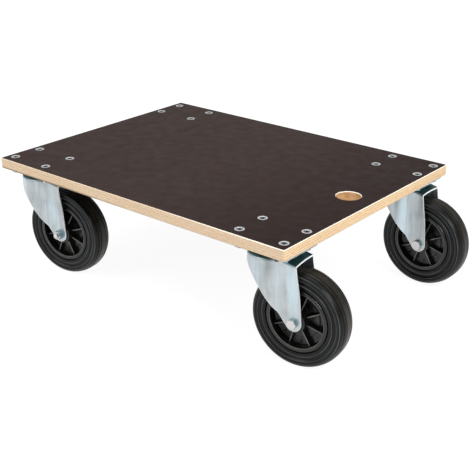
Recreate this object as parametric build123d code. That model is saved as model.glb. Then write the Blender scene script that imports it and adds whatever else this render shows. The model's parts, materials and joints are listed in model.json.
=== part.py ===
from build123d import *
import math
import os

# Furniture dolly: a film-faced plywood deck on four swivel castors.
# Units are millimetres. The origin is the centre of the load face, +Z is up, and +X
# points along the deck to the end with the hand hole.

# Deck
DECK_LENGTH = 800
DECK_WIDTH = 600
DECK_THICKNESS = 24
DECK_CORNER_R = 2
DECK_EDGE_BEVEL = 1.2
FILM = 0.4
HAND_HOLE_R = 26
HAND_HOLE_INSET = 61.5

# M10 countersunk socket bolts through the deck
BOLT_R = 5
BOLT_LENGTH = 35
BOLT_HEAD_R = 10
BOLT_HEAD_RIM = 0.5
BOLT_DISH_R = 6.5
BOLT_DISH_DEPTH = 0.6
BOLT_SOCKET_AF = 6
BOLT_SOCKET_DEPTH = 4
BOLT_CLEARANCE = 0.15
BOLT_NUT_AF = 17
BOLT_NUT_HEIGHT = 8

# Castor layout
CASTOR_HEIGHT = 238
SWIVEL_X = 328.5
SWIVEL_Y = 239
BOLT_PITCH_X = 104
BOLT_PITCH_Y = 70
# name: side along X, side along Y, heading of the trailing wheel from +X in degrees,
# and the side of the fork that holds the axle bolt's head
CASTORS = {
    "front_right": (1, -1, 7, -1),
    "front_left": (1, 1, 0, -1),
    "rear_right": (-1, -1, 8, 1),
    "rear_left": (-1, 1, 5, 1),
}

# Mounting plate, with a dish pressed down in its middle
SHEET = 4
PLATE_LENGTH = 136
PLATE_WIDTH = 105
PLATE_CORNER_R = 8
PLATE_HOLE_R = 5.5
DISH_DEPTH = 5
DISH_R = 40
DISH_WALL = 6

# Double ball race
BALL_R = 3.175
RACE_GROOVE_R = 3.5
RACE_GAP = 3
UPPER_RACE_R = 34
LOWER_RACE_R = 22
UPPER_BALLS = 24
LOWER_BALLS = 16
LOWER_RACE_OUTER_R = 32
KING_PIN_R = 6
KING_PIN_SHOULDER_R = 9
KING_PIN_HEAD_R = 12
KING_PIN_HEAD = 3.5
KING_PIN_RIVET_R = 11
KING_PIN_RIVET = 5
PIN_CLEARANCE = 0.1

# Fork
TRAIL = 66
FORK_HEAD_R = 48.5
FORK_HALF_WIDTH = 35
FORK_CREASE_R = 6
FORK_BEND_R = 5
FORK_FLAT_R = 40
FORK_CROWN_SLOPE = 0.25
FORK_FRONT = 69
FORK_END_R = 17
FORK_EDGE_R = 0.8
FORK_HOLE_R = 12
FORK_DIMPLE_R = 12.5
FORK_DIMPLE = (36, 43, -9)

# Axle
AXLE_R = 6
AXLE_LENGTH = 85
AXLE_HEX_AF = 18
AXLE_HEAD = 7.5
AXLE_NUT = 10
AXLE_CLEARANCE = 0.2
TUBE_R = 10

# Roller bearing
ROLLER_R = 2
ROLLER_LENGTH = 48
ROLLERS = 12
ROLLER_CLEARANCE = 0.06
CAGE_LENGTH = 54
CAGE_WALL = 2.2

# Wheel: a rim with a deep ribbed recess on each side, and a tyre that laps over its edge
WHEEL_R = 100
TREAD_HALF = 12
TYRE_HALF = 25
SHOULDER_R = 88
BEAD_R = 68
BEAD_HALF = 22
HUB_R = 22
HUB_HALF = 29
WEB_HALF = 3
WEB_STEP_R = 42
WEB_STEP = 2
RIM_INNER_R = 57.5
RIM_R = 65.5
RIM_HALF = 22.5
RIM_SEAT_HALF = 16
RIBS = 8
RIB_TURN = 19
RIB_THICKNESS = 2.8
RIB_OUTER_TOP = 12.5
RIB_HUB_TOP = 17

# Levels in the castor's own frame: z is 0 at the deck's underside
DISH_UNDER = -(SHEET + DISH_DEPTH)
FORK_TOP = DISH_UNDER - RACE_GAP
FORK_UNDER = FORK_TOP - SHEET
LOWER_RACE_TOP = FORK_UNDER - RACE_GAP
LOWER_RACE_UNDER = LOWER_RACE_TOP - SHEET
AXLE_Z = WHEEL_R - CASTOR_HEIGHT
ROLLER_PITCH_R = TUBE_R + ROLLER_CLEARANCE + ROLLER_R
BORE_R = ROLLER_PITCH_R + ROLLER_R + ROLLER_CLEARANCE
FORK_INSIDE = FORK_HALF_WIDTH - SHEET
CORNERS = [(1, 1), (1, -1), (-1, -1), (-1, 1)]


def turned_upright(points):
    """A solid turned about the vertical axis from (radius, z) points."""
    outline = make_face(Polyline(*points, close=True))
    return revolve(Plane.XZ * outline, Axis.Z)


def turned_crosswise(outline):
    """A solid turned about the Y axis from a face drawn with x as its radius."""
    return revolve(outline, Axis.Y)


def prism(across_flats, height):
    """A hexagonal bar standing on the XY plane."""
    corner_r = across_flats / math.sqrt(3)
    return extrude(RegularPolygon(corner_r, 6), height)


def upright_bar(radius, low, high):
    """A round bar from one height to another."""
    return Pos(0, 0, low) * Cylinder(radius, high - low, align=(Align.CENTER, Align.CENTER, Align.MIN))


def crosswise_bar(radius, low, high):
    """A round bar along Y from one station to another."""
    return Rot(-90, 0, 0) * upright_bar(radius, low, high)


def swivel_centre(name):
    side_x, side_y = CASTORS[name][:2]
    return side_x * SWIVEL_X, side_y * SWIVEL_Y


def deck_bolt_places():
    """The sixteen bolt positions on the deck."""
    places = []
    for name in CASTORS:
        x, y = swivel_centre(name)
        for side_x, side_y in CORNERS:
            places.append((x + side_x * BOLT_PITCH_X / 2, y + side_y * BOLT_PITCH_Y / 2))
    return places


def bolt_profile(gap):
    """Half section of a countersunk bolt, or of its hole when a gap is given."""
    head_r = BOLT_HEAD_R + gap
    shank_r = BOLT_R + gap
    cone = head_r - shank_r
    end = -BOLT_LENGTH
    return [
        (0, 0),
        (head_r, 0),
        (head_r, -BOLT_HEAD_RIM),
        (shank_r, -BOLT_HEAD_RIM - cone),
        (shank_r, end),
        (0, end),
    ]


def deck_layer(top, bottom, inset):
    """One layer of the deck with its bolt holes and its hand hole, drawn in from the edges."""
    sketch = RectangleRounded(DECK_LENGTH - 2 * inset, DECK_WIDTH - 2 * inset, DECK_CORNER_R)
    sketch -= Pos(DECK_LENGTH / 2 - HAND_HOLE_INSET, 0) * Circle(HAND_HOLE_R + inset)
    layer = Pos(0, 0, bottom) * extrude(sketch, top - bottom)
    if inset == 0:
        layer = chamfer(layer.edges().filter_by(Axis.Z, reverse=True), DECK_EDGE_BEVEL)
    hole = turned_upright(bolt_profile(BOLT_CLEARANCE))
    for x, y in deck_bolt_places():
        layer -= Pos(x, y, 0) * hole
    return layer


def deck_bolt():
    """Countersunk bolt with a shallow dish round its hexagonal socket."""
    bolt = turned_upright(bolt_profile(0))
    bolt -= upright_bar(BOLT_DISH_R, -BOLT_DISH_DEPTH, 1)
    bolt -= Pos(0, 0, -BOLT_SOCKET_DEPTH) * prism(BOLT_SOCKET_AF, BOLT_SOCKET_DEPTH + 1)
    tip = bolt.edges().filter_by(GeomType.CIRCLE).sort_by(Axis.Z)[0]
    return chamfer(tip, 0.8)


def hex_blank(across_flats, height):
    """Hexagon standing on the XY plane, with the corners of both faces turned off."""
    corner_r = across_flats / math.sqrt(3)
    cut = corner_r - across_flats / 2
    drop = cut * math.tan(math.radians(30))
    envelope = turned_upright(
        [
            (0, 0),
            (across_flats / 2, 0),
            (corner_r, drop),
            (corner_r, height - drop),
            (across_flats / 2, height),
            (0, height),
        ]
    )
    return prism(across_flats, height) & envelope


def hex_nut(across_flats, height, bore_r):
    """Nut standing on the XY plane."""
    return hex_blank(across_flats, height) - upright_bar(bore_r, -1, height + 1)


def mounting_plate():
    """Pressed plate: flat round its edge, dished in the middle, grooved for the balls."""
    plate = Pos(0, 0, -SHEET / 2) * Box(PLATE_LENGTH, PLATE_WIDTH, SHEET)
    plate = fillet(plate.edges().filter_by(Axis.Z), PLATE_CORNER_R)
    boss_r = DISH_R + DISH_WALL
    boss = [(0, 0), (boss_r, 0), (boss_r, -SHEET), (DISH_R, DISH_UNDER), (0, DISH_UNDER)]
    recess = [(0, 0), (DISH_R + SHEET, 0), (DISH_R - 2, -DISH_DEPTH), (0, -DISH_DEPTH)]
    plate += turned_upright(boss)
    plate -= turned_upright(recess)
    plate -= race_groove(UPPER_RACE_R, DISH_UNDER - RACE_GAP / 2)
    plate -= upright_bar(KING_PIN_R + PIN_CLEARANCE, DISH_UNDER - 1, 1)
    for side_x, side_y in CORNERS:
        hole = upright_bar(PLATE_HOLE_R, -2 * SHEET, SHEET)
        plate -= Pos(side_x * BOLT_PITCH_X / 2, side_y * BOLT_PITCH_Y / 2, 0) * hole
    return plate


def race_groove(radius, level):
    """Ring that cuts a ball groove."""
    return Pos(0, 0, level) * Torus(radius, RACE_GROOVE_R)


def ball_ring(count, radius, level):
    """Balls evenly spaced on a circle."""
    balls = []
    for index in range(count):
        angle = math.radians(360 * index / count)
        place = Pos(radius * math.cos(angle), radius * math.sin(angle), level)
        balls.append(place * Sphere(BALL_R))
    return balls


def swivel_balls():
    """Both ball rows of the swivel head."""
    upper = ball_ring(UPPER_BALLS, UPPER_RACE_R, FORK_TOP + RACE_GAP / 2)
    lower = ball_ring(LOWER_BALLS, LOWER_RACE_R, FORK_UNDER - RACE_GAP / 2)
    return Compound(children=upper + lower)


def king_pin():
    """Shouldered rivet that ties the mounting plate to the lower race."""
    head_top = -DISH_DEPTH + KING_PIN_HEAD
    rivet_end = LOWER_RACE_UNDER - KING_PIN_RIVET
    return turned_upright(
        [
            (0, head_top),
            (KING_PIN_HEAD_R - 1.5, head_top),
            (KING_PIN_HEAD_R, head_top - 1.5),
            (KING_PIN_HEAD_R, -DISH_DEPTH),
            (KING_PIN_R, -DISH_DEPTH),
            (KING_PIN_R, DISH_UNDER),
            (KING_PIN_SHOULDER_R, DISH_UNDER),
            (KING_PIN_SHOULDER_R, LOWER_RACE_TOP),
            (KING_PIN_R, LOWER_RACE_TOP),
            (KING_PIN_R, LOWER_RACE_UNDER),
            (KING_PIN_RIVET_R, LOWER_RACE_UNDER),
            (KING_PIN_RIVET_R, LOWER_RACE_UNDER - 2),
            (KING_PIN_RIVET_R - 4, rivet_end),
            (0, rivet_end),
        ]
    )


def lower_race():
    """Cup that carries the lower balls, with a lip turned up towards the fork."""
    lip_top = FORK_UNDER - 1
    cup = turned_upright(
        [
            (KING_PIN_R + PIN_CLEARANCE, LOWER_RACE_UNDER),
            (LOWER_RACE_OUTER_R - 2, LOWER_RACE_UNDER),
            (LOWER_RACE_OUTER_R, LOWER_RACE_UNDER + 2),
            (LOWER_RACE_OUTER_R, lip_top),
            (LOWER_RACE_OUTER_R - 2.5, lip_top),
            (LOWER_RACE_OUTER_R - 2.5, LOWER_RACE_TOP),
            (KING_PIN_R + PIN_CLEARANCE, LOWER_RACE_TOP),
        ]
    )
    return cup - race_groove(LOWER_RACE_R, LOWER_RACE_TOP + RACE_GAP / 2)


def fork_body(skin):
    """Closed form of the fork, shrunk inwards by the skin: round head, flat cheeks, sloping crown."""
    depth = 2 * CASTOR_HEIGHT
    plan = Circle(FORK_HEAD_R - skin)
    plan += Pos(CASTOR_HEIGHT / 2, 0) * Rectangle(CASTOR_HEIGHT, 2 * (FORK_HALF_WIDTH - skin))
    meet_x = math.sqrt((FORK_HEAD_R - skin) ** 2 - (FORK_HALF_WIDTH - skin) ** 2)
    creases = [v for v in plan.vertices() if abs(v.X - meet_x) < 0.1]
    plan = fillet(creases, FORK_CREASE_R + skin)
    column = Pos(0, 0, -depth) * extrude(plan, depth)
    top = FORK_TOP - skin
    crown = [
        (0, top),
        (FORK_FLAT_R, top),
        (FORK_FLAT_R + depth, top - depth * FORK_CROWN_SLOPE),
        (FORK_FLAT_R + depth, -2 * depth),
        (0, -2 * depth),
    ]
    return column & turned_upright(crown)


def fork_side_outline():
    """Side view of the fork, drawn with x along the trail and y as the height."""
    lug_angles = [math.radians(a) for a in (5, -90, 215)]
    lug = [(TRAIL + FORK_END_R * math.cos(a), AXLE_Z + FORK_END_R * math.sin(a)) for a in lug_angles]
    front = [(FORK_FRONT - 1, 5), (FORK_FRONT + 1, -30), (76.5, -70), lug[0]]
    front_edge = Spline(*front, tangents=[(0, -1), (0.09, -1)])
    lug_arc = ThreePointArc(lug[0], lug[1], lug[2])
    back = [lug[2], (23, -110), (-2, -74), (-31, -40), (-60, -18)]
    back_edge = Spline(*back, tangents=[(-0.6, 0.8), (-1, 0.6)])
    roof = Polyline(back[-1], (-60, 5), front[0])
    return make_face(front_edge.edges() + lug_arc.edges() + back_edge.edges() + roof.edges())


def sheared_edges(shell):
    """Edges of the faces that the side outline cuts through the sheet, without the seams across it."""
    edges = []
    for face in shell.faces():
        on_lug = face.geom_type == GeomType.CYLINDER and face.center().Z < AXLE_Z
        cut = on_lug or face.geom_type == GeomType.EXTRUSION
        if cut and abs(face.normal_at(face.center()).Y) < 0.001:
            edges += [edge for edge in face.edges() if abs(edge.length - SHEET) > 0.05]
    return edges


def fork():
    """Pressed fork: a sheet shell open below, in front and under its slanting back edge."""
    outer = fork_body(0)
    rim = [edge for edge in outer.edges() if is_crown_rim(edge)]
    outer = fillet(rim, FORK_BEND_R)
    shell = outer - fork_body(SHEET)
    shell &= extrude(Plane.XZ * fork_side_outline(), 2 * FORK_HEAD_R, both=True)
    shell = fillet(sheared_edges(shell), FORK_EDGE_R)
    for side in (1, -1):
        press = Pos(FORK_DIMPLE[0], side * FORK_DIMPLE[1], FORK_DIMPLE[2])
        shell += outer & (press * Sphere(FORK_DIMPLE_R + SHEET))
        shell -= press * Sphere(FORK_DIMPLE_R)
    shell -= race_groove(UPPER_RACE_R, FORK_TOP + RACE_GAP / 2)
    shell -= race_groove(LOWER_RACE_R, FORK_UNDER - RACE_GAP / 2)
    shell -= upright_bar(FORK_HOLE_R, FORK_UNDER - 1, FORK_TOP + 1)
    axle_hole = crosswise_bar(AXLE_R + AXLE_CLEARANCE, -FORK_HEAD_R, FORK_HEAD_R)
    return shell - Pos(TRAIL, 0, AXLE_Z) * axle_hole


def is_crown_rim(edge):
    """True for the edges where the crown of the fork turns down into its sides."""
    middle = edge @ 0.5
    on_side = abs(abs(middle.Y) - FORK_HALF_WIDTH) < 0.5 or math.hypot(middle.X, middle.Y) > FORK_FLAT_R + 1
    level = edge.bounding_box().size.Z < CASTOR_HEIGHT / 2
    return on_side and level and middle.Z > -CASTOR_HEIGHT / 2 and middle.X < CASTOR_HEIGHT - 1


def axle_bolt():
    """Hexagon head bolt across the fork, with its head on the -Y side."""
    head = Rot(-90, 0, 0) * hex_blank(AXLE_HEX_AF, AXLE_HEAD)
    shank = crosswise_bar(AXLE_R, -FORK_HALF_WIDTH - 1, AXLE_LENGTH - FORK_HALF_WIDTH)
    tip = shank.edges().filter_by(GeomType.CIRCLE).sort_by(Axis.Y)[-1]
    return Pos(0, -FORK_HALF_WIDTH - AXLE_HEAD, 0) * head + chamfer(tip, 1)


def axle_nut():
    """Nut on the far cheek of the fork from the bolt's head."""
    nut = hex_nut(AXLE_HEX_AF, AXLE_NUT, AXLE_R + PIN_CLEARANCE / 2)
    return Pos(0, FORK_HALF_WIDTH, 0) * Rot(-90, 0, 0) * nut


def axle_tube():
    """Spacer tube clamped between the cheeks, on which the rollers run."""
    tube = crosswise_bar(TUBE_R, -FORK_INSIDE, FORK_INSIDE)
    return tube - crosswise_bar(AXLE_R + AXLE_CLEARANCE, -HUB_R * 2, HUB_R * 2)


def roller_places():
    """The roller centres round the axle."""
    angles = [math.radians(360 * index / ROLLERS) for index in range(ROLLERS)]
    return [Pos(ROLLER_PITCH_R * math.cos(a), 0, ROLLER_PITCH_R * math.sin(a)) for a in angles]


def roller_cage():
    """Sleeve with one window for each roller."""
    half = CAGE_LENGTH / 2
    cage = crosswise_bar(ROLLER_PITCH_R + CAGE_WALL / 2, -half, half)
    cage -= crosswise_bar(ROLLER_PITCH_R - CAGE_WALL / 2, -half - 1, half + 1)
    window_half = ROLLER_LENGTH / 2 + 0.3
    window = crosswise_bar(ROLLER_R + 0.1, -window_half, window_half)
    for place in roller_places():
        cage -= place * window
    return cage


def rollers():
    """The loose rollers of the wheel bearing."""
    roller = crosswise_bar(ROLLER_R, -ROLLER_LENGTH / 2, ROLLER_LENGTH / 2)
    return Compound(children=[place * roller for place in roller_places()])


def mirrored_profile(half):
    """A section symmetric about the wheel's middle plane, from (radius, y) points."""
    return half + [(r, -y) for r, y in reversed(half)]


def wheel_rim():
    """Moulded rim: hub, stepped web, ribs on both sides and the ring that the tyre sits on."""
    half = [
        (BORE_R, HUB_HALF),
        (HUB_R - 1, HUB_HALF),
        (HUB_R, HUB_HALF - 1),
        (HUB_R + 1, WEB_HALF + WEB_STEP),
        (WEB_STEP_R, WEB_HALF + WEB_STEP),
        (WEB_STEP_R + 1, WEB_HALF),
        (RIM_INNER_R - 1, WEB_HALF),
        (RIM_INNER_R, RIM_HALF - 1),
        (RIM_INNER_R + 1, RIM_HALF),
        (RIM_R - 1, RIM_HALF),
        (RIM_R, RIM_HALF - 1),
    ]
    rim = turned_crosswise(make_face(Polyline(*mirrored_profile(half), close=True)))
    for side in (1, -1):
        for index in range(RIBS):
            rim += Rot(0, RIB_TURN + 360 * index / RIBS, 0) * rib(side)
    return rim


def rib(side):
    """Rib on one face of the web, sloping down from the hub to the ring."""
    outline = [
        (HUB_R - 1, WEB_HALF * side),
        (RIM_INNER_R + 0.5, WEB_HALF * side),
        (RIM_INNER_R + 0.5, RIB_OUTER_TOP * side),
        (HUB_R - 1, RIB_HUB_TOP * side),
    ]
    return extrude(make_face(Polyline(*outline, close=True)), RIB_THICKNESS / 2, both=True)


def tyre():
    """Solid rubber tyre on the rim, with beads that stand a little off the rim's edges."""
    lines = [Line((WHEEL_R, TREAD_HALF), (WHEEL_R, -TREAD_HALF))]
    lines += [Line((RIM_R, RIM_SEAT_HALF), (RIM_R, -RIM_SEAT_HALF))]
    for side in (1, -1):
        wall_top = (SHOULDER_R, TYRE_HALF * side)
        shoulder = (WHEEL_R - 3.6, (TREAD_HALF + 7.5) * side)
        lines += [ThreePointArc((WHEEL_R, TREAD_HALF * side), shoulder, wall_top)]
        foot = [
            wall_top,
            (BEAD_R + 10, (TYRE_HALF - 2) * side),
            (BEAD_R + 8, BEAD_HALF * side),
            (BEAD_R, BEAD_HALF * side),
            (BEAD_R, RIM_SEAT_HALF * side),
            (RIM_R, RIM_SEAT_HALF * side),
        ]
        lines += Polyline(*foot).edges()
    return turned_crosswise(make_face(lines))


def deck_parts():
    """Every node that belongs to the deck alone."""
    underside = -DECK_THICKNESS
    nut = hex_nut(BOLT_NUT_AF, BOLT_NUT_HEIGHT, BOLT_R + PIN_CLEARANCE / 2)
    nut_seat = underside - SHEET - BOLT_NUT_HEIGHT
    bolt = deck_bolt()
    return {
        "deck_core": deck_layer(-FILM, underside + FILM, 0),
        "deck_top_film": deck_layer(0, -FILM, DECK_EDGE_BEVEL),
        "deck_bottom_film": deck_layer(underside + FILM, underside, DECK_EDGE_BEVEL),
        "deck_bolts": Compound(children=[Pos(x, y, 0) * bolt for x, y in deck_bolt_places()]),
        "deck_nuts": Compound(children=[Pos(x, y, nut_seat) * nut for x, y in deck_bolt_places()]),
    }


def fixed_parts():
    """The pieces of a castor that stay with the deck, in the castor's own frame."""
    return {
        "mounting_plate": mounting_plate(),
        "king_pin": king_pin(),
        "lower_race": lower_race(),
    }


def swivelling_parts():
    """The pieces about the king pin that turn with the fork."""
    return {"swivel_balls": swivel_balls(), "fork": fork()}


def wheel_parts():
    """The pieces about the axle, with the axle bolt's head on the -Y side."""
    return {
        "axle_bolt": axle_bolt(),
        "axle_nut": axle_nut(),
        "axle_tube": axle_tube(),
        "roller_cage": roller_cage(),
        "rollers": rollers(),
        "wheel_rim": wheel_rim(),
        "tyre": tyre(),
    }


def main():
    os.makedirs("parts", exist_ok=True)
    for name, shape in deck_parts().items():
        export_step(shape, f"parts/{name}.step")
    fixed, swivelling, wheel = fixed_parts(), swivelling_parts(), wheel_parts()
    for castor, (side_x, side_y, heading, head_side) in CASTORS.items():
        at_deck = Pos(side_x * SWIVEL_X, side_y * SWIVEL_Y, -DECK_THICKNESS)
        at_pin = at_deck * Rot(0, 0, heading)
        at_axle = at_pin * Pos(TRAIL, 0, AXLE_Z) * Rot(0, 0, 0 if head_side < 0 else 180)
        for place, pieces in ((at_deck, fixed), (at_pin, swivelling), (at_axle, wheel)):
            for name, shape in pieces.items():
                export_step(place * shape, f"parts/{castor}_{name}.step")


main()
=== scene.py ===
import math

import bmesh
import bpy
from mathutils import Matrix, Vector
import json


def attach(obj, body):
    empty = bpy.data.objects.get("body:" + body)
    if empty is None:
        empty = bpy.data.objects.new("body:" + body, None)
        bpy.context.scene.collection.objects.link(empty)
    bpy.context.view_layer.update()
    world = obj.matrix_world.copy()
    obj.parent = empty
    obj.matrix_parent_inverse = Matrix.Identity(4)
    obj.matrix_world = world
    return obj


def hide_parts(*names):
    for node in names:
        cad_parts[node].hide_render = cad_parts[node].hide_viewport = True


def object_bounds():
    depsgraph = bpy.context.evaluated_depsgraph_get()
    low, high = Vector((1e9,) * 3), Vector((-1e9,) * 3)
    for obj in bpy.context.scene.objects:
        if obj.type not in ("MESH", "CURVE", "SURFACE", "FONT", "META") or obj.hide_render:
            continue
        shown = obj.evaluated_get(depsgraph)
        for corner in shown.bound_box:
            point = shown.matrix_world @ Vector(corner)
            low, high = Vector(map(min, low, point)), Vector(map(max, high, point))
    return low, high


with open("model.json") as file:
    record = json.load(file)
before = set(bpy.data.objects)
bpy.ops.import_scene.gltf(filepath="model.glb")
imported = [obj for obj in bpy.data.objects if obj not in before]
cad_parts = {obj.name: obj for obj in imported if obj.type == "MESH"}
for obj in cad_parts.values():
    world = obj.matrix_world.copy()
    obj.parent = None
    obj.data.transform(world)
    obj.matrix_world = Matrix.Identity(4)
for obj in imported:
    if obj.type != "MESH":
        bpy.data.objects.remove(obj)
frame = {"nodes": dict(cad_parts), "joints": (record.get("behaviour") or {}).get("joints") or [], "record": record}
CAD_LOW, CAD_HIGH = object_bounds()

# Furniture dolly. Lengths are in metres in the CAD frame: the origin is the centre of the
# load face, +X runs towards the hand hole, +Z is up.
CASTORS = ("front_right", "front_left", "rear_right", "rear_left")
FLOOR_Z = CAD_LOW.z
MOUNTS = {mount["name"]: mount for mount in frame["record"]["mounts"]}
HAND_HOLE = MOUNTS["hand_hole"]
HAND_HOLE_R = HAND_HOLE["dims"]["r_mm"] / 1000

# Heights and thicknesses where a finish changes
PLY = 0.00258
# Heights of the top bevel that gets a painted highlight
BEVEL_HIGHLIGHT_Z = (-0.0026, -0.0014)
LOW_PLY_Z = (-0.0200, -0.0212)
FORK_TOP_Z = -0.032
CROWN_LOW_Z = -0.050
DECK_BOLT_LOW_Z = -0.010

# Camera, at the viewing angle of a three-quarter product view
CAMERA_AZIMUTH = 39.62
CAMERA_ELEVATION = 23.41
CAMERA_DISTANCE = 1.7544
CAMERA_AIM = Vector((0.2888, -0.3020, 0.0))
CAMERA_LENS = 73.11

# Wheel: section steps, and the ribs of the rim with their turn from the wheel's +X
STEPS_ROUND = 180
RIBS = 8
RIB_TURN = 19
RIB_INNER_R = 0.021
RIB_OUTER_R = 0.058
RIB_HALF_THICK = 0.0014
RIB_HUB_TOP = 0.017
RIB_OUTER_TOP = 0.0125
PAD_SPAN = math.radians(33)
PAD_STEPS = 6
PIP_PLACE_R = 0.0495
PIP_STEPS = 16

# Places on a wheel that get painted glints: the part of the web that shows the ribs, the lip of the rim's ring,
# and the tyre's raised rings as (radius, half width)
WEB_FROM_R = (0.0232, 0.0236)
WEB_TO_R = (0.0572, 0.0568)
LIP_R = 0.0584
LIP_ACROSS = (0.0205, 0.0218)
TYRE_RINGS = ((0.0752, 0.0011), (0.0846, 0.0008), (0.0925, 0.0010))
TREAD_TO_WALL = (0.012, 0.020)

# M10 countersunk bolts, spaced about each castor's king pin
BOLT_OFFSET_X = 0.052
BOLT_OFFSET_Y = 0.035
SOCKET_APOTHEM = 0.003
BOLT_STEPS = 48

# Studio: lights as (name, place, target, width, height, power)
FLOOR_SIZE = 30
FLOOR_GLOW = 0.92
WORLD_LIGHT = 0.55
WORLD_SEEN = 1.0
LIGHTS = (
    ("key", (-1.4, -2.6, 2.6), (0, 0, -0.1), 2.2, 2.2, 46),
    ("right", (2.6, -1.1, 1.9), (0.3, 0, -0.1), 0.9, 1.3, 44),
    ("top", (0, 0.4, 3.2), (0, 0, 0), 2.5, 2.5, 34),
)


def srgb(r, g, b):
    """Scene-linear colour from 8-bit display values."""

    def linear(value):
        c = value / 255
        return c / 12.92 if c <= 0.04045 else ((c + 0.055) / 1.055) ** 2.4

    return (linear(r), linear(g), linear(b), 1.0)


# ---------------------------------------------------------------- materials


class Finish:
    """A node material: short calls for the few node types that the finishes use."""

    def __init__(self, name):
        self.material = bpy.data.materials.new(name)
        self.material.use_nodes = True
        self.tree = self.material.node_tree
        self.shader = self.tree.nodes["Principled BSDF"]
        coordinates = self.add("ShaderNodeTexCoord")
        self.place = coordinates.outputs["Object"]
        self.facing = coordinates.outputs["Normal"]

    def add(self, kind, **values):
        node = self.tree.nodes.new(kind)
        for key, value in values.items():
            setattr(node, key, value)
        return node

    def link(self, source, target):
        self.tree.links.new(source, target)

    def feed(self, socket, value):
        if isinstance(value, bpy.types.NodeSocket):
            self.link(value, socket)
        else:
            socket.default_value = value

    def set(self, **values):
        for key, value in values.items():
            self.shader.inputs[key.replace("_", " ")].default_value = value

    def scaled(self, x, y, z, place=None):
        node = self.add("ShaderNodeMapping")
        self.feed(node.inputs["Vector"], place or self.place)
        node.inputs["Scale"].default_value = (x, y, z)
        return node.outputs["Vector"]

    def noise(self, scale, detail=4.0, roughness=0.55, place=None):
        node = self.add("ShaderNodeTexNoise")
        self.feed(node.inputs["Vector"], place or self.place)
        node.inputs["Scale"].default_value = scale
        node.inputs["Detail"].default_value = detail
        node.inputs["Roughness"].default_value = roughness
        return node.outputs["Fac"]

    def cells(self, scale, place):
        """Distance from the nearest of a scatter of points."""
        node = self.add("ShaderNodeTexVoronoi")
        self.feed(node.inputs["Vector"], place)
        node.inputs["Scale"].default_value = scale
        return node.outputs["Distance"]

    def ramp(self, value, *stops):
        """Colour ramp from (position, colour) stops, where a colour may be one grey number."""
        node = self.add("ShaderNodeValToRGB")
        self.feed(node.inputs["Fac"], value)
        elements = node.color_ramp.elements
        while len(elements) < len(stops):
            elements.new(0.5)
        for element, (position, colour) in zip(elements, stops):
            element.position = position
            element.color = colour if isinstance(colour, tuple) else (colour, colour, colour, 1)
        return node.outputs["Color"]

    def span(self, value, low, high, to_low=0.0, to_high=1.0):
        """The value, carried from one range to another and held within it."""
        node = self.add("ShaderNodeMapRange")
        self.feed(node.inputs["Value"], value)
        sockets = ("From Min", "From Max", "To Min", "To Max")
        for socket, number in zip(sockets, (low, high, to_low, to_high)):
            node.inputs[socket].default_value = number
        return node.outputs["Result"]

    def math(self, operation, a, b=0.0):
        node = self.add("ShaderNodeMath", operation=operation)
        self.feed(node.inputs[0], a)
        self.feed(node.inputs[1], b)
        return node.outputs["Value"]

    def mix(self, factor, a, b, blend="MIX"):
        node = self.add("ShaderNodeMix", data_type="RGBA", blend_type=blend)
        self.feed(node.inputs["Factor"], factor)
        sockets = [s for s in node.inputs if s.type == "RGBA"]
        self.feed(sockets[0], a)
        self.feed(sockets[1], b)
        return [s for s in node.outputs if s.type == "RGBA"][0]

    def axis(self, letter, place=None):
        node = self.add("ShaderNodeSeparateXYZ")
        self.feed(node.inputs[0], place or self.place)
        return node.outputs[letter]

    def attribute(self, name):
        return self.add("ShaderNodeAttribute", attribute_name=name).outputs["Vector"]

    def wheel(self):
        """Distance from the axle, and from the wheel's middle plane."""
        local = self.attribute("wheel_place")
        radius = self.add("ShaderNodeVectorMath", operation="LENGTH")
        self.link(self.scaled(1.0, 0.0, 1.0, local), radius.inputs[0])
        return radius.outputs["Value"], self.math("ABSOLUTE", self.axis("Y", local))

    def bump(self, height, distance, strength=1.0, over=None):
        node = self.add("ShaderNodeBump")
        self.feed(node.inputs["Height"], height)
        node.inputs["Distance"].default_value = distance
        node.inputs["Strength"].default_value = strength
        if over is not None:
            self.link(over, node.inputs["Normal"])
        return node.outputs["Normal"]

    def surface(self, colour=None, roughness=None, metallic=None, normal=None):
        for socket, value in (
            ("Base Color", colour),
            ("Roughness", roughness),
            ("Metallic", metallic),
            ("Normal", normal),
        ):
            if value is not None:
                self.feed(self.shader.inputs[socket], value)
        return self.material


def deck_film():
    """Brown phenolic film: mottled, fine pressed grain, scuffs, and painted shade that darkens it towards the hand
    hole.
    """
    f = Finish("deck_film")
    mottle = f.noise(9.0, 5.0, 0.6)
    colour = f.ramp(
        mottle,
        (0.30, srgb(53, 38, 33)),
        (0.52, srgb(48, 33, 28)),
        (0.72, srgb(53, 35, 30)),
    )
    speck = f.span(f.noise(900.0, 2.0), 0.35, 0.65, 0.90, 1.08)
    colour = f.mix(1.0, colour, f.ramp(speck, (0.0, 0.0), (1.0, 1.0)), "MULTIPLY")
    scuff = f.span(f.noise(1.0, 6.0, 0.7, f.scaled(14.0, 90.0, 14.0)), 0.60, 0.72)
    colour = f.mix(f.math("MULTIPLY", scuff, 0.10), colour, srgb(120, 110, 104))
    # Painted shade: the film is drawn darker towards the hand hole, where the light falls off.
    painted_falloff_shade = f.span(f.axis("X"), 0.05, 0.36, 0.0, 0.80)
    colour = f.mix(painted_falloff_shade, colour, srgb(30, 12, 9))
    rough = f.span(f.noise(38.0, 4.0), 0.3, 0.7, 0.42, 0.56)
    grain = f.bump(f.noise(1400.0, 2.0), 0.00006, 0.5)
    wave = f.bump(f.noise(5.0, 2.0), 0.0006, 0.10, grain)
    f.set(Specular_IOR_Level=0.12)
    return f.surface(colour, rough, 0.0, wave)


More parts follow.
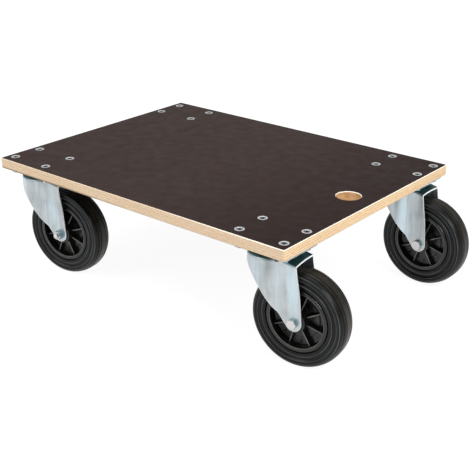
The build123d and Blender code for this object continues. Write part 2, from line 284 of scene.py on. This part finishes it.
def plywood():
    """Plywood edge: plies with broken glue lines, lit and shaded by paint: lighter and warmer on the short sides,
    darker and greyer on the long ones; a burnt hole wall with a pale rim, a painted highlight along the top bevel,
    stronger towards the hand hole, and the lowest ply drawn darker on the long sides towards -X."""
    f = Finish("plywood")
    depth = f.math("MULTIPLY", f.axis("Z"), -1.0)
    wander = f.math("MULTIPLY", f.noise(7.0, 3.0), 0.0005)
    ply = f.math("DIVIDE", f.math("ADD", depth, wander), PLY)
    index = f.math("FLOOR", ply)
    within = f.math("FRACT", ply)
    even = f.math("PINGPONG", index, 1.0)
    long_grain = f.noise(1.0, 6.0, 0.65, f.scaled(22.0, 22.0, 900.0))
    end_grain = f.noise(1.0, 4.0, 0.7, f.scaled(64.0, 64.0, 760.0))
    # Painted light and shade: the short sides are drawn lighter and warmer, the long sides darker and greyer, as
    # the light falls on them.
    pale = f.ramp(long_grain, (0.3, srgb(236, 203, 160)), (0.7, srgb(250, 227, 190)))
    dark = f.ramp(end_grain, (0.3, srgb(214, 174, 128)), (0.7, srgb(242, 211, 170)))
    short_side_painted_lit = f.mix(even, pale, dark)
    pale = f.ramp(long_grain, (0.3, srgb(211, 184, 152)), (0.7, srgb(230, 209, 182)))
    dark = f.ramp(end_grain, (0.3, srgb(197, 167, 134)), (0.7, srgb(226, 202, 174)))
    grey = f.mix(even, pale, dark)
    on_long_side = f.span(f.math("ABSOLUTE", f.axis("Y", f.facing)), 0.4, 0.6)
    colour = f.mix(on_long_side, short_side_painted_lit, grey)
    tint = f.noise(1.0, 3.0, 0.5, f.scaled(3.0, 3.0, 160.0))
    colour = f.mix(f.span(tint, 0.52, 0.70, 0.0, 0.30), colour, srgb(188, 148, 112))
    pores = f.noise(1.0, 2.0, 0.6, f.scaled(260.0, 260.0, 330.0))
    colour = f.mix(f.span(pores, 0.52, 0.72, 0.0, 0.50), colour, srgb(160, 124, 92))
    glue = f.math("GREATER_THAN", f.math("ABSOLUTE", f.math("SUBTRACT", within, 0.5)), 0.455)
    broken = f.span(f.noise(40.0, 3.0), 0.40, 0.60, 0.05, 0.34)
    colour = f.mix(f.math("MULTIPLY", glue, broken), colour, srgb(158, 112, 76))
    # The lowest ply is drawn darker on the long sides towards -X.
    low_ply = f.span(f.axis("Z"), *LOW_PLY_Z)
    darker_low_ply = f.math("MULTIPLY", low_ply, f.span(f.axis("X"), 0.02, -0.16, 0.0, 0.75))
    colour = f.mix(f.math("MULTIPLY", darker_low_ply, on_long_side), colour, srgb(112, 98, 80))
    knot = f.span(f.cells(1.0, f.scaled(7.0, 7.0, 120.0)), 0.05, 0.11, 0.55, 0.0)
    colour = f.mix(knot, colour, srgb(128, 84, 50))
    hole_x, hole_y = HAND_HOLE["pos_m"][:2]
    off_x = f.math("SUBTRACT", f.axis("X"), hole_x)
    off_y = f.math("SUBTRACT", f.axis("Y"), hole_y)
    off = f.math("SQRT", f.math("ADD", f.math("POWER", off_x, 2.0), f.math("POWER", off_y, 2.0)))
    in_hole = f.span(off, HAND_HOLE_R + 0.0004, HAND_HOLE_R + 0.0001)
    burnt = f.ramp(
        f.noise(1.0, 5.0, 0.7, f.scaled(60.0, 60.0, 240.0)),
        (0.34, srgb(150, 98, 46)),
        (0.52, srgb(196, 150, 100)),
        (0.70, srgb(222, 184, 138)),
    )
    colour = f.mix(f.math("MULTIPLY", in_hole, 0.85), colour, burnt)
    near_hole = f.span(off, HAND_HOLE_R + 0.0030, HAND_HOLE_R + 0.0020)
    past_wall = f.span(off, HAND_HOLE_R + 0.0001, HAND_HOLE_R + 0.0004)
    rim = f.math("MULTIPLY", near_hole, past_wall)
    colour = f.mix(f.math("MULTIPLY", rim, 0.8), colour, srgb(255, 248, 226))
    # Painted highlight along the top bevel, stronger towards the hand hole.
    painted_bevel_highlight = f.span(f.axis("Z"), *BEVEL_HIGHLIGHT_Z)
    towards_hole = f.span(f.axis("X"), 0.05, 0.30, 0.18, 0.95)
    colour = f.mix(f.math("MULTIPLY", painted_bevel_highlight, towards_hole), colour, srgb(255, 250, 234))
    height = f.math("ADD", f.math("MULTIPLY", even, 0.4), f.math("MULTIPLY", end_grain, 0.6))
    f.set(Specular_IOR_Level=0.25)
    return f.surface(colour, 0.78, 0.0, f.bump(height, 0.00025, 0.6))


def zinc_sheet():
    """Blue-passivated zinc: soft bands of painted reflection, upper faces painted a dark teal shade over the
    passivation tint, and edges left bare by shearing painted near white as highlights.
    """
    f = Finish("zinc_sheet")
    cloud = f.noise(26.0, 5.0, 0.6)
    colour = f.ramp(
        cloud,
        (0.28, srgb(158, 166, 170)),
        (0.50, srgb(178, 184, 186)),
        (0.74, srgb(198, 202, 202)),
    )
    # Painted reflections: soft light and dark vertical bands.
    painted_reflection_band = f.noise(1.0, 3.0, 0.5, f.scaled(27.0, 27.0, 4.0))
    colour = f.mix(f.span(painted_reflection_band, 0.50, 0.66, 0.0, 0.65), colour, srgb(206, 226, 236))
    colour = f.mix(f.span(painted_reflection_band, 0.46, 0.34, 0.0, 0.60), colour, srgb(108, 121, 124))
    # Painted shade with a passivation tint: upward faces, which sit in the deck's shadow, are drawn dark teal.
    up = f.span(f.axis("Z", f.facing), 0.62, 0.90, 0.0, 0.92)
    colour = f.mix(up, colour, srgb(36, 94, 92))
    # Painted highlight: the fork's front edges, bare from shearing, and the downward faces below the crown are
    # drawn near white and less metallic.
    on_fork = f.math("LESS_THAN", f.axis("Z"), FORK_TOP_Z)
    front = f.math("MULTIPLY", f.span(f.axis("X", f.facing), 0.72, 0.88), on_fork)
    below_crown = f.math("LESS_THAN", f.axis("Z"), CROWN_LOW_Z)
    under = f.math("MULTIPLY", f.span(f.axis("Z", f.facing), -0.06, -0.20), below_crown)
    sheared_edge_highlight = f.math("MAXIMUM", front, under)
    colour = f.mix(sheared_edge_highlight, colour, srgb(250, 253, 255))
    streak = f.noise(1.0, 5.0, 0.6, f.scaled(260.0, 260.0, 24.0))
    rough = f.math("ADD", f.span(cloud, 0.3, 0.7, 0.24, 0.36), f.math("MULTIPLY", streak, 0.08))
    metallic = f.span(sheared_edge_highlight, 0.0, 1.0, 0.88, 0.35)
    spangle = f.bump(f.noise(620.0, 3.0), 0.00005, 0.5)
    drawn = f.bump(streak, 0.00008, 0.5, spangle)
    return f.surface(colour, rough, metallic, drawn)


def bolt_zinc():
    """Zinc-plated fasteners: bright on the faces, teal on the flanks, with painted shade down in the sockets."""
    f = Finish("bolt_zinc")
    cloud = f.noise(160.0, 4.0)
    bright = f.ramp(cloud, (0.3, srgb(206, 208, 210)), (0.7, srgb(242, 244, 246)))
    on_deck = f.math("GREATER_THAN", f.axis("Z"), DECK_BOLT_LOW_Z)
    # Painted shade: the socket is drawn darker the deeper it goes.
    deep = f.span(f.axis("Z"), -0.0001, -0.0005)
    dish = f.ramp(
        f.span(f.axis("Z"), -0.0005, -0.0030),
        (0.0, srgb(126, 130, 134)),
        (0.4, srgb(30, 32, 34)),
    )
    colour = f.mix(f.math("MULTIPLY", deep, on_deck), bright, dish)
    flank = f.span(f.math("ABSOLUTE", f.axis("Y", f.facing)), 0.85, 0.55)
    below = f.math("SUBTRACT", 1.0, on_deck)
    hexagon = f.ramp(cloud, (0.3, srgb(96, 122, 128)), (0.7, srgb(168, 190, 196)))
    colour = f.mix(f.math("MULTIPLY", flank, below), colour, hexagon)
    face = f.math("MULTIPLY", f.math("SUBTRACT", 1.0, flank), below)
    colour = f.mix(f.math("MULTIPLY", face, 0.7), colour, srgb(196, 190, 187))
    rough = f.span(f.noise(700.0, 3.0), 0.3, 0.7, 0.22, 0.40)
    return f.surface(colour, rough, 0.75, f.bump(f.noise(1500.0, 2.0), 0.00004, 0.5))


def bearing_steel():
    """Ground steel with a film of grease."""
    f = Finish("bearing_steel")
    smear = f.noise(240.0, 4.0)
    colour = f.ramp(smear, (0.35, srgb(120, 118, 112)), (0.65, srgb(188, 190, 192)))
    rough = f.span(smear, 0.3, 0.7, 0.42, 0.18)
    f.set(Coat_Weight=0.3)
    return f.surface(colour, rough, 1.0, f.bump(f.noise(1800.0, 2.0), 0.00003, 0.4))


def rim_plastic():
    """Black moulded plastic, satin, with dust, and painted glints along the rib edges and the ring's lip."""
    f = Finish("rim_plastic")
    radius, across = f.wheel()
    dust = f.span(f.noise(60.0, 5.0, 0.65), 0.45, 0.75)
    colour = f.mix(f.math("MULTIPLY", dust, 0.35), srgb(9, 9, 8), srgb(28, 25, 21))
    rib_top = f.span(radius, RIB_INNER_R, RIB_OUTER_R, RIB_HUB_TOP, RIB_OUTER_TOP)
    rib_edge = f.span(f.math("SUBTRACT", rib_top, across), 0.0010, 0.0003)
    on_web = f.math("MULTIPLY", f.span(radius, *WEB_FROM_R), f.span(radius, *WEB_TO_R))
    lip = f.span(f.math("ABSOLUTE", f.math("SUBTRACT", radius, LIP_R)), 0.0012, 0.0006)
    lip = f.math("MULTIPLY", lip, f.span(across, *LIP_ACROSS, 0.0, 0.7))
    # Painted glints on the rib edges over the web and on the ring's lip.
    painted_glint = f.math("MAXIMUM", f.math("MULTIPLY", rib_edge, on_web), lip)
    glint_amount = f.math("MULTIPLY", painted_glint, f.span(f.noise(42.0, 3.0), 0.35, 0.65, 0.35, 1.0))
    colour = f.mix(glint_amount, colour, srgb(104, 105, 102))
    rough = f.span(f.noise(300.0, 3.0), 0.3, 0.7, 0.20, 0.31)
    f.set(Specular_IOR_Level=0.5)
    return f.surface(colour, rough, 0.0, f.bump(f.noise(2200.0, 2.0), 0.00005, 0.5))


def cage_plastic():
    """Natural moulded bearing cage."""
    f = Finish("cage_plastic")
    colour = f.ramp(f.noise(120.0), (0.3, srgb(188, 180, 158)), (0.7, srgb(212, 206, 186)))
    return f.surface(colour, 0.5, 0.0, f.bump(f.noise(1600.0, 2.0), 0.00004, 0.5))


def tyre_rubber():
    """Black rubber: brownish dust on the tread, and painted grey highlights on the raised rings of the walls."""
    f = Finish("tyre_rubber")
    radius, across = f.wheel()
    side = f.span(across, *TREAD_TO_WALL)
    cloud = f.noise(45.0, 5.0, 0.6)
    wall = f.ramp(cloud, (0.3, srgb(8, 8, 8)), (0.7, srgb(15, 16, 15)))
    tread = f.ramp(cloud, (0.3, srgb(22, 20, 16)), (0.7, srgb(40, 37, 30)))
    colour = f.mix(side, tread, wall)
    # Painted highlights on the raised rings of the walls.
    painted_glint = None
    for ring_r, half_width in TYRE_RINGS:
        off = f.math("ABSOLUTE", f.math("SUBTRACT", radius, ring_r))
        ring = f.span(off, half_width, half_width * 0.4)
        painted_glint = ring if painted_glint is None else f.math("MAXIMUM", painted_glint, ring)
    glint_amount = f.math("MULTIPLY", painted_glint, f.span(f.noise(30.0, 3.0), 0.35, 0.65, 0.45, 1.0))
    colour = f.mix(glint_amount, colour, srgb(78, 83, 86))
    rough = f.span(f.noise(90.0, 4.0), 0.3, 0.7, 0.27, 0.38)
    f.set(Specular_IOR_Level=0.22, Sheen_Weight=0.01, Sheen_Roughness=0.5)
    grain = f.bump(f.noise(1500.0, 3.0), 0.00008, 0.5)
    return f.surface(colour, rough, 0.0, grain)


# ---------------------------------------------------------------- mesh helpers


def new_piece(name, mesh, body, material, slot_name, *nodes):
    """Puts a finished mesh, already in the row frame, on a body in place of CAD nodes."""
    piece = bpy.data.objects.new(name, mesh)
    bpy.context.scene.collection.objects.link(piece)
    piece.data.materials.clear()
    piece.data.materials.append(material)
    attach(piece, body)
    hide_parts(*nodes)


def lathe(profile):
    """Closed mesh turned about the Y axis from (radius, y) points, in order round the section."""
    mesh = bmesh.new()
    rings = []
    for step in range(STEPS_ROUND):
        angle = 2 * math.pi * step / STEPS_ROUND
        c, s = math.cos(angle), math.sin(angle)
        rings.append([mesh.verts.new((r * c, y, r * s)) for r, y in profile])
    count = len(profile)
    for step in range(STEPS_ROUND):
        here, there = rings[step], rings[(step + 1) % STEPS_ROUND]
        for i in range(count):
            j = (i + 1) % count
            mesh.faces.new((here[i], here[j], there[j], there[i]))
    bmesh.ops.recalc_face_normals(mesh, faces=mesh.faces)
    return mesh


def finish_mesh(bm, name, place, smooth_angle=35):
    """Mesh in the row frame, smooth but for its sharp edges, keeping its wheel coordinates."""
    mesh = bpy.data.meshes.new(name)
    bm.to_mesh(mesh)
    bm.free()
    local = mesh.attributes.new("wheel_place", "FLOAT_VECTOR", "POINT")
    local.data.foreach_set("vector", [c for v in mesh.vertices for c in v.co])
    mesh.transform(place)
    mesh.polygons.foreach_set("use_smooth", [True] * len(mesh.polygons))
    mesh.set_sharp_from_angle(angle=math.radians(smooth_angle))
    return mesh


def wheel_place(castor):
    """Matrix of a wheel's own frame, with its axle along Y and its bolt head on the -Y side."""
    joint = joint_named(f"{castor}_wheel_spin")
    heading = math.atan2(-joint["axis"][0], joint["axis"][1])
    if castor.startswith("rear"):
        heading += math.pi
    return Matrix.Translation(Vector(joint["pos_m"])) @ Matrix.Rotation(heading, 4, "Z")


def joint_named(name):
    return next(joint for joint in frame["joints"] if joint["name"] == name)


def swept(bm, sections, turn):
    """Closed solid through equal-length sections of points, turned by a matrix."""
    rings = [[bm.verts.new(turn @ Vector(point)) for point in section] for section in sections]
    faces = [bm.faces.new(rings[0]), bm.faces.new(list(reversed(rings[-1])))]
    for here, there in zip(rings, rings[1:]):
        for i in range(len(here)):
            j = (i + 1) % len(here)
            faces.append(bm.faces.new((here[j], here[i], there[i], there[j])))
    bmesh.ops.recalc_face_normals(bm, faces=faces)


def united(body, details):
    """One mesh from a body and the solids that grow out of it."""
    objects = []
    for name, bm in (("body", body), ("details", details)):
        mesh = bpy.data.meshes.new(name)
        bm.to_mesh(mesh)
        bm.free()
        piece = bpy.data.objects.new(name, mesh)
        bpy.context.scene.collection.objects.link(piece)
        objects.append(piece)
    union = objects[0].modifiers.new("union", "BOOLEAN")
    union.operation = "UNION"
    union.solver = "EXACT"
    union.object = objects[1]
    evaluated = objects[0].evaluated_get(bpy.context.evaluated_depsgraph_get())
    result = bmesh.new()
    result.from_mesh(evaluated.to_mesh())
    for piece in objects:
        mesh = piece.data
        bpy.data.objects.remove(piece)
        bpy.data.meshes.remove(mesh)
    return result


# ---------------------------------------------------------------- pieces


def both_sides(half):
    """Closed section, symmetric about the wheel's middle plane, from (radius, y) points."""
    return half + [(r, -y) for r, y in reversed(half)]


def tyre_profile():
    """Section of the tyre: seat, bead, dip, hollow ringed wall, shoulder and grooved tread."""
    return both_sides(
        [
            (0.0655, 0.0160),
            (0.0680, 0.0161),
            (0.0680, 0.0212),
            (0.0683, 0.0219),
            (0.0692, 0.0223),
            (0.0725, 0.0225),
            (0.0746, 0.0227),
            (0.0755, 0.0225),
            (0.0761, 0.0219),
            (0.0766, 0.0209),
            (0.0776, 0.0204),
            (0.0798, 0.0204),
            (0.0811, 0.0210),
            (0.0824, 0.0221),
            (0.0838, 0.0231),
            (0.0841, 0.0236),
            (0.0846, 0.0237),
            (0.0850, 0.0235),
            (0.0862, 0.0242),
            (0.0880, 0.0248),
            (0.0898, 0.0249),
            (0.0914, 0.0245),
            (0.0926, 0.0239),
            (0.0930, 0.0232),
            (0.0935, 0.0230),
            (0.0943, 0.0230),
            (0.0951, 0.0222),
            (0.0962, 0.0204),
            (0.0973, 0.0184),
            (0.0980, 0.0166),
            (0.0964, 0.0160),
            (0.0963, 0.0148),
            (0.0984, 0.0142),
            (0.0993, 0.0122),
            (0.0998, 0.0094),
            (0.0982, 0.0088),
            (0.0981, 0.0076),
            (0.0999, 0.0070),
            (0.1000, 0.0030),
        ]
    )


def rim_profile():
    """Section of the rim: bore, hub, stepped web, and the rounded ring that carries the tyre."""
    return both_sides(
        [
            (0.01412, 0.0286),
            (0.0145, 0.0290),
            (0.0210, 0.0290),
            (0.0218, 0.0287),
            (0.0221, 0.0280),
            (0.0226, 0.0066),
            (0.0232, 0.0046),
            (0.0246, 0.0036),
            (0.0412, 0.0036),
            (0.0420, 0.0030),
            (0.0558, 0.0030),
            (0.0568, 0.0035),
            (0.0573, 0.0048),
            (0.0575, 0.0206),
            (0.0577, 0.0216),
            (0.0582, 0.0223),
            (0.0590, 0.0225),
            (0.0640, 0.0225),
            (0.0648, 0.0222),
            (0.0653, 0.0216),
            (0.0655, 0.0206),
        ]
    )


def rib_sections(side):
    """Rounded rib on one face of the web, lower at the ring than at the hub."""
    sections = []
    for radius, top in ((RIB_INNER_R, RIB_HUB_TOP), (RIB_OUTER_R, RIB_OUTER_TOP)):
        thick, edge = RIB_HALF_THICK, RIB_HALF_THICK * 0.45
        outline = [(-thick * 1.15, 0.002), (-thick, top - edge), (-thick + edge, top)]
        outline += [(-x, y) for x, y in reversed(outline)]
        sections.append([(radius, y * side, z) for z, y in outline])
    return sections


def pad_sections(side, span):
    """Raised pad on the web between two ribs, as sections spread over an angle."""
    outline = [(0.0240, 0.002), (0.0240, 0.0049), (0.0244, 0.0053)]
    outline += [(0.0410, 0.0053), (0.0416, 0.0048), (0.0418, 0.002)]
    sections = []
    for step in range(PAD_STEPS + 1):
        angle = span * (step / PAD_STEPS - 0.5)
        c, s = math.cos(angle), math.sin(angle)
        sections.append([(r * c, y * side, r * s) for r, y in outline])
    return sections


def pip_sections(side):
    """Small round ejector mark standing on the web."""
    sections = []
    for radius, height in ((0.0017, 0.002), (0.0017, 0.0033), (0.0013, 0.0036)):
        ring = []
        for step in range(PIP_STEPS):
            angle = 2 * math.pi * step / PIP_STEPS
            x, z = PIP_PLACE_R + radius * math.cos(angle), radius * math.sin(angle)
            ring.append((x, height * side, z))
        sections.append(ring)
    return sections


def rim_details():
    """The ribs, pads and ejector marks of both faces of the web."""
    bm = bmesh.new()
    for side in (1, -1):
        for index in range(RIBS):
            angle = math.radians(RIB_TURN + 360 * index / RIBS)
            between = angle + math.pi / RIBS
            swept(bm, rib_sections(side), Matrix.Rotation(angle, 4, "Y"))
            swept(bm, pad_sections(side, PAD_SPAN), Matrix.Rotation(between, 4, "Y"))
            swept(bm, pip_sections(side), Matrix.Rotation(between, 4, "Y"))
    return bm


def bolt_ring(bm, radius, z, hexagonal=False):
    """Ring of a bolt's surface, round or following the hexagon of its socket."""
    ring = []
    for step in range(BOLT_STEPS):
        angle = 2 * math.pi * step / BOLT_STEPS
        if hexagonal:
            radius = SOCKET_APOTHEM / math.cos((angle % (math.pi / 3)) - math.pi / 6)
        ring.append(bm.verts.new((radius * math.cos(angle), radius * math.sin(angle), z)))
    return ring


def socket_bolt(bm, place):
    """Countersunk bolt: shank, cone, crisp rim, shallow dish and hexagonal socket."""
    start = len(bm.verts)
    round_rings = [
        (0.0042, -0.0350),
        (0.0050, -0.0342),
        (0.0050, -0.0056),
        (0.0099, -0.0007),
        (0.0100, -0.0005),
        (0.0100, -0.00015),
        (0.0098, 0.0),
        (0.0070, 0.0),
        (0.0066, -0.00015),
        (0.0062, -0.0006),
        (0.0041, -0.0006),
    ]
    rings = [bolt_ring(bm, radius, z) for radius, z in round_rings]
    rings += [bolt_ring(bm, 0.0, z, True) for z in (-0.0008, -0.0040)]
    bm.faces.new(list(reversed(rings[0])))
    bm.faces.new(rings[-1])
    for here, there in zip(rings, rings[1:]):
        for i in range(len(here)):
            j = (i + 1) % len(here)
            bm.faces.new((here[i], here[j], there[j], there[i]))
    bm.verts.ensure_lookup_table()
    bmesh.ops.translate(bm, verts=bm.verts[start:], vec=place)


def build_deck_bolts(material):
    """All the deck's bolts as one piece, four round each castor's king pin."""
    bm = bmesh.new()
    for castor in CASTORS:
        centre = Vector(joint_named(f"{castor}_swivel")["pos_m"])
        for side_x in (1, -1):
            for side_y in (1, -1):
                x = centre.x + side_x * BOLT_OFFSET_X
                y = centre.y + side_y * BOLT_OFFSET_Y
                socket_bolt(bm, Vector((x, y, 0.0)))
    mesh = finish_mesh(bm, "deck_bolts_fine", Matrix.Identity(4))
    new_piece("deck_bolts_fine", mesh, "deck", material, "bolt_zinc", "deck_bolts")


def build_wheels(finishes):
    """A tyre and a rim for each castor, from one mesh of each."""
    tyre = lathe(tyre_profile())
    rim = united(lathe(rim_profile()), rim_details())
    for castor in CASTORS:
        place, body = wheel_place(castor), f"{castor}_wheel_body"
        for source, name, node, slot in (
            (tyre, "tyre_rubber", "tyre", "tyre_rubber"),
            (rim, "rim_moulding", "wheel_rim", "rim_plastic"),
        ):
            mesh = finish_mesh(source.copy(), name, place, 28)
            new_piece(f"{castor}_{name}", mesh, body, finishes[slot], slot, f"{castor}_{node}")


# ---------------------------------------------------------------- stage


def area_light(name, place, target, width, height, power):
    data = bpy.data.lights.new(name, "AREA")
    data.shape = "RECTANGLE"
    data.size, data.size_y = width, height
    data.energy = power
    light = bpy.data.objects.new(name, data)
    light.location = place
    light.rotation_euler = (Vector(target) - Vector(place)).to_track_quat("-Z", "Y").to_euler()
    bpy.context.scene.collection.objects.link(light)


def build_stage():
    """Floor that glows nearly white, so its shadows stay faint, a white world that is brighter
    to the camera than to the object, and three large soft lights."""
    bpy.ops.mesh.primitive_plane_add(size=FLOOR_SIZE, location=(0, 0, FLOOR_Z))
    floor = bpy.context.object
    floor.name = "floor"
    f = Finish("floor_paint")
    shade = f.ramp(f.noise(0.8, 2.0), (0.3, 0.16), (0.7, 0.18))
    floor.data.materials.append(f.surface(shade, 0.9, 0.0))
    f.set(Specular_IOR_Level=0.1, Emission_Color=(1, 1, 1, 1), Emission_Strength=FLOOR_GLOW)

    world = bpy.data.worlds.new("studio")
    bpy.context.scene.world = world
    world.use_nodes = True
    background = world.node_tree.nodes["Background"]
    background.inputs["Color"].default_value = (1, 1, 1, 1)
    path = world.node_tree.nodes.new("ShaderNodeLightPath")
    seen = world.node_tree.nodes.new("ShaderNodeMapRange")
    world.node_tree.links.new(path.outputs["Is Camera Ray"], seen.inputs["Value"])
    seen.inputs["To Min"].default_value = WORLD_LIGHT
    seen.inputs["To Max"].default_value = WORLD_SEEN
    world.node_tree.links.new(seen.outputs["Result"], background.inputs["Strength"])

    for light in LIGHTS:
        area_light(*light)


def build_camera():
    """Camera on a sphere about its aim, at an azimuth and an elevation."""
    data = bpy.data.cameras.new("camera")
    data.lens = CAMERA_LENS
    data.sensor_width = 36.0
    camera = bpy.data.objects.new("camera", data)
    azimuth, elevation = math.radians(CAMERA_AZIMUTH), math.radians(CAMERA_ELEVATION)
    back = Vector(
        (
            math.sin(azimuth) * math.cos(elevation),
            -math.cos(azimuth) * math.cos(elevation),
            math.sin(elevation),
        )
    )
    camera.location = CAMERA_AIM + back * CAMERA_DISTANCE
    camera.rotation_mode = "QUATERNION"
    camera.rotation_quaternion = (-back).to_track_quat("-Z", "Y")
    bpy.context.scene.collection.objects.link(camera)
    bpy.context.scene.camera = camera
    bpy.context.scene.view_settings.view_transform = "Standard"


def main():
    finishes = {
        "deck_film": deck_film(),
        "plywood": plywood(),
        "zinc_sheet": zinc_sheet(),
        "bolt_zinc": bolt_zinc(),
        "bearing_steel": bearing_steel(),
        "rim_plastic": rim_plastic(),
        "cage_plastic": cage_plastic(),
        "tyre_rubber": tyre_rubber(),
    }
    slots = {row["node"]: row["material_slot"] for row in frame["record"]["subparts"]}
    for name, node in frame["nodes"].items():
        node.data.materials.clear()
        node.data.materials.append(finishes[slots[name]])
    build_wheels(finishes)
    build_deck_bolts(finishes["bolt_zinc"])
    build_stage()
    build_camera()


main()
